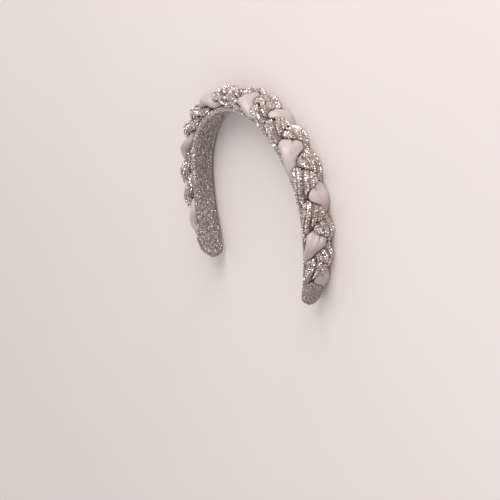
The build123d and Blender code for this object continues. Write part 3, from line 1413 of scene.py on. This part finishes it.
@dataclass(frozen=True)
class SatinFinish(Finish):
    """Pale lilac-grey satin: smooth, softly shining, with fine streaks along the cloth that are
    bumps and painted sheen.
    """

    shared: SharedNodes
    light: Colour = (0.535, 0.458, 0.456)
    dark: Colour = (0.405, 0.342, 0.340)
    threads: float = 1600.0

    def inputs(self, wiring: Wiring) -> dict[str, object]:
        """What the shader's inputs get.

        Args:
            wiring: the wiring of the material's tree.

        Returns:
            A socket or a value for each input that changes.
        """
        places = wiring.add("ShaderNodeTexCoord").outputs
        cloth = places["UV"]
        values = {"Vector": cloth, "Threads": self.threads}
        weave = wiring.add("ShaderNodeGroup", values, node_tree=self.shared.weave).outputs
        cloud = wiring.noise(places["Object"], Scale=90.0, Detail=2.0, Roughness=0.4)
        streak_bump_and_sheen = wiring.noise(wiring.streaky(cloth, along=0.10), Scale=620.0, Detail=2.0)
        soft = wiring.noise(wiring.streaky(cloth, along=0.35), Scale=160.0, Detail=1.0)
        threads = wiring.maths("MULTIPLY", weave["Thread"], 0.15)
        mottled = wiring.maths("MULTIPLY_ADD", cloud, 0.5, threads)
        # painted sheen: the lengthwise streaks also lighten and darken the satin's colour, on top
        # of its random mottle and weave
        tone_and_painted_sheen = wiring.maths("MULTIPLY_ADD", streak_bump_and_sheen, 0.35, mottled)
        woven = wiring.bump(weave["Height"], strength=0.10, distance=0.0001)
        creased = wiring.bump(soft, strength=0.35, distance=0.0006, Normal=woven)
        return {
            "Base Color": wiring.ramp(tone_and_painted_sheen, {0.25: self.dark, 0.75: self.light}),
            "Roughness": 0.36,
            "Specular IOR Level": 0.45,
            "Sheen Weight": 0.25,
            "Sheen Roughness": 0.35,
            "Anisotropic": 0.4,
            "Normal": wiring.bump(streak_bump_and_sheen, strength=0.5, distance=0.0004, Normal=creased),
        }


@dataclass(frozen=True)
class SparklingClothFinish(Finish):
    """Dark cloth with flakes of glitter in its weave."""

    shared: SharedNodes
    dark: Colour = (0.12, 0.10, 0.088)
    middle: Colour = (0.26, 0.22, 0.195)
    light: Colour = (0.55, 0.50, 0.47)
    flakes: float = 1300.0
    share: float = 0.25
    tilt: float = 0.7
    threads: float = 900.0

    def inputs(self, wiring: Wiring) -> dict[str, object]:
        """What the shader's inputs get.

        Args:
            wiring: the wiring of the material's tree.

        Returns:
            A socket or a value for each input that changes.
        """
        places = wiring.add("ShaderNodeTexCoord").outputs
        values = {"Vector": places["Object"], "Scale": self.flakes}
        values |= {"Share": self.share, "Tilt": self.tilt}
        flakes = wiring.add("ShaderNodeGroup", values, node_tree=self.shared.flakes).outputs
        values = {"Vector": places["UV"], "Threads": self.threads}
        weave = wiring.add("ShaderNodeGroup", values, node_tree=self.shared.weave).outputs
        stops = {0.0: self.dark, 0.6: self.middle, 1.0: self.light}
        height = wiring.maths("MULTIPLY_ADD", weave["Height"], 0.4, flakes["Height"])
        return {
            "Base Color": wiring.ramp(flakes["Tone"], stops),
            "Metallic": flakes["Bright"],
            "Roughness": wiring.maths("MULTIPLY_ADD", flakes["Bright"], -0.45, 0.75),
            "Normal": wiring.bump(height, 0.6, 0.0002, Normal=flakes["Normal"]),
        }


@dataclass(frozen=True)
class CrystalFinish(Finish):
    """Cut crystal over a silver foil: each stone has its own tone, from smoke to clear."""

    stops: tuple[tuple[float, Colour], ...] = (
        (0.0, (0.45, 0.375, 0.35)),
        (0.35, (0.62, 0.525, 0.495)),
        (0.75, (0.79, 0.69, 0.655)),
        (0.92, (0.96, 0.88, 0.85)),
        (1.0, (1.0, 0.97, 0.95)),
    )

    def inputs(self, wiring: Wiring) -> dict[str, object]:
        """What the shader's inputs get.

        Args:
            wiring: the wiring of the material's tree.

        Returns:
            A socket or a value for each input that changes.
        """
        tone = wiring.add("ShaderNodeAttribute", attribute_name="tone").outputs["Fac"]
        places = wiring.add("ShaderNodeTexCoord").outputs
        smear = wiring.noise(places["Object"], Scale=1500.0, Detail=1.0)
        return {
            "Base Color": wiring.ramp(tone, dict(self.stops)),
            "Roughness": wiring.maths("MULTIPLY_ADD", smear, 0.25, 0.08),
            "Metallic": 0.85,
            "IOR": 1.7,
        }


GLITTER_STOPS = (
    (0.0, (0.34, 0.28, 0.26)),
    (0.5, (0.55, 0.465, 0.435)),
    (0.8, (0.80, 0.70, 0.665)),
    (1.0, (1.0, 0.97, 0.95)),
)


@dataclass(frozen=True)
class FloorFinish(Finish):
    """A plain, pale, matt floor with a trace of warmth."""

    light: Colour = (0.79, 0.73, 0.70)
    dark: Colour = (0.77, 0.705, 0.68)

    def inputs(self, wiring: Wiring) -> dict[str, object]:
        """What the shader's inputs get.

        Args:
            wiring: the wiring of the material's tree.

        Returns:
            A socket or a value for each input that changes.
        """
        places = wiring.add("ShaderNodeTexCoord").outputs
        cloud = wiring.noise(places["Object"], Scale=3.0, Detail=2.0)
        colour = wiring.ramp(cloud, {0.3: self.dark, 0.7: self.light})
        return {"Base Color": colour, "Roughness": 0.9, "Specular IOR Level": 0.1}


@dataclass(frozen=True)
class Viewpoint:
    """Where the camera stands, round the middle of the crown's circle, and how much it sees.

    Azimuth, elevation and roll are degrees as seen with the band upright on a head. The middle's
    place in the picture and the focal length are shares of the picture's side.
    """

    azimuth: float = 58.0
    elevation: float = 21.54
    roll: float = -5.06
    distance: float = 1248.33
    focal: float = 3.10788
    middle_right: float = 0.00906
    middle_up: float = 0.09512
    sensor: float = 36.0
    clip_end: float = 20.0

    def axes(self) -> tuple[Vector, Vector, Vector]:
        """The camera's own ways.

        Returns:
            Right, up and backwards from the camera, in the frame of the upright band.
        """
        azimuth, elevation, roll = map(radians, (self.azimuth, self.elevation, self.roll))
        level = Vector((cos(azimuth), sin(azimuth), 0))
        flat = cos(elevation)
        back = Vector((sin(azimuth) * flat, -cos(azimuth) * flat, sin(elevation)))
        plumb = back.cross(level)
        right = level * cos(roll) + plumb * sin(roll)
        return right, plumb * cos(roll) - level * sin(roll), back

    def on_floor(self, band: Band, vector: Vector) -> Vector:
        """A way in the upright band's frame, as it is with the band on its side."""
        return band.turned @ Vector((-vector.x, -vector.z, -vector.y))

    def build(self, band: Band) -> bpy.types.Object:
        """Sets up the camera.

        Args:
            band: the band that it looks at.

        Returns:
            The camera.
        """
        right, up, back = (self.on_floor(band, axis) for axis in self.axes())
        reach = self.distance / self.focal
        place = Vector((0, band.middle_from_crown, band.rest_height)) + back * self.distance
        place = place - right * self.middle_right * reach - up * self.middle_up * reach
        lens = bpy.data.cameras.new("camera")
        lens.sensor_width = self.sensor
        lens.lens = self.sensor * self.focal
        lens.clip_end = self.clip_end
        camera = linked("camera", lens)
        turned = Matrix((right, up, back)).transposed().to_4x4()
        camera.matrix_world = Matrix.Translation(place * MM) @ turned
        bpy.context.scene.camera = camera
        return camera


@dataclass(frozen=True)
class Lamp:
    """A large soft lamp: its way from the band, size, distance in metres and power in watts."""

    name: str
    towards: Vector
    size: float
    distance: float
    power: float
    colour: Colour

    def build(self) -> bpy.types.Object:
        """Hangs the lamp, facing the band.

        Returns:
            The lamp.
        """
        light = bpy.data.lights.new(self.name, "AREA")
        light.shape = "DISK"
        light.size = self.size
        light.energy = self.power
        light.color = self.colour
        lamp = linked(self.name, light)
        way = self.towards.normalized()
        facing = way.to_track_quat("Z", "Y").to_matrix().to_4x4()
        lamp.matrix_world = Matrix.Translation(way * self.distance) @ facing
        return lamp


@dataclass(frozen=True)
class Studio:
    """The pale floor, the soft lamp and the light all round."""

    lamp: Lamp
    sky: Colour = (1.0, 0.965, 0.945)
    sky_strength: float = 0.70
    floor_size: float = 6.0

    def build(self, finish: bpy.types.Material) -> bpy.types.Object:
        """Builds the studio.

        Args:
            finish: the floor's material.

        Returns:
            The floor.
        """
        plane = bmesh.new()
        bmesh.ops.create_grid(plane, x_segments=2, y_segments=2, size=self.floor_size / 2)
        floor = as_object("floor", plane, smooth=False)
        floor.data.materials.append(finish)
        self.lamp.build()
        world = bpy.data.worlds.new("studio")
        world.use_nodes = True
        values = {"Color": (*self.sky, 1), "Strength": self.sky_strength}
        Wiring(world.node_tree).fill(world.node_tree.nodes["Background"], values)
        bpy.context.scene.world = world
        bpy.context.scene.view_settings.view_transform = "Standard"
        return floor


def main() -> None:
    """Builds the headband piece by piece, then the studio and the camera."""
    logging.basicConfig(level=logging.INFO, format="%(message)s")
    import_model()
    band = Band()
    plait = Plait(band)
    view = Viewpoint()
    view.build(band)
    shared = SharedNodes()
    crystal_cloth = SparklingClothFinish("crystal_cloth", shared).material()
    crystal = CrystalFinish("crystal").material()
    cover_cloth = SparklingClothFinish(
        "cover_cloth", shared, dark=(0.10, 0.083, 0.073), flakes=1500.0, share=0.3
    )

    satin = PlaitedStrand("satin_strand", Slot.SATIN, plait, 0, SATIN_PLEATS, fill=0.75)
    satin.build(SatinFinish("satin_cloth", shared).material())
    glittering = [
        PlaitedStrand(node, Slot.CRYSTAL_FABRIC, plait, turn, GLITTER_PLEATS, fill=0.85)
        for turn, node in enumerate(("glitter_strand_first", "glitter_strand_second"), start=1)
    ]
    for strand in glittering:
        strand.build(crystal_cloth)
        CrystalRows(strand).build(crystal)
    cover = BandCover(band, (satin, *glittering))
    cover.build(cover_cloth.material())
    GlitterGrains(cover).build(CrystalFinish("glitter", stops=GLITTER_STOPS).material())

    lamp = Lamp(
        name="key",
        towards=view.on_floor(band, Vector((0.4, -0.45, 0.9))),
        size=1.6,
        distance=2.2,
        power=46.0,
        colour=(1.0, 0.97, 0.95),
    )
    Studio(lamp).build(FloorFinish("floor").material())


if __name__ == "__main__":
    main()
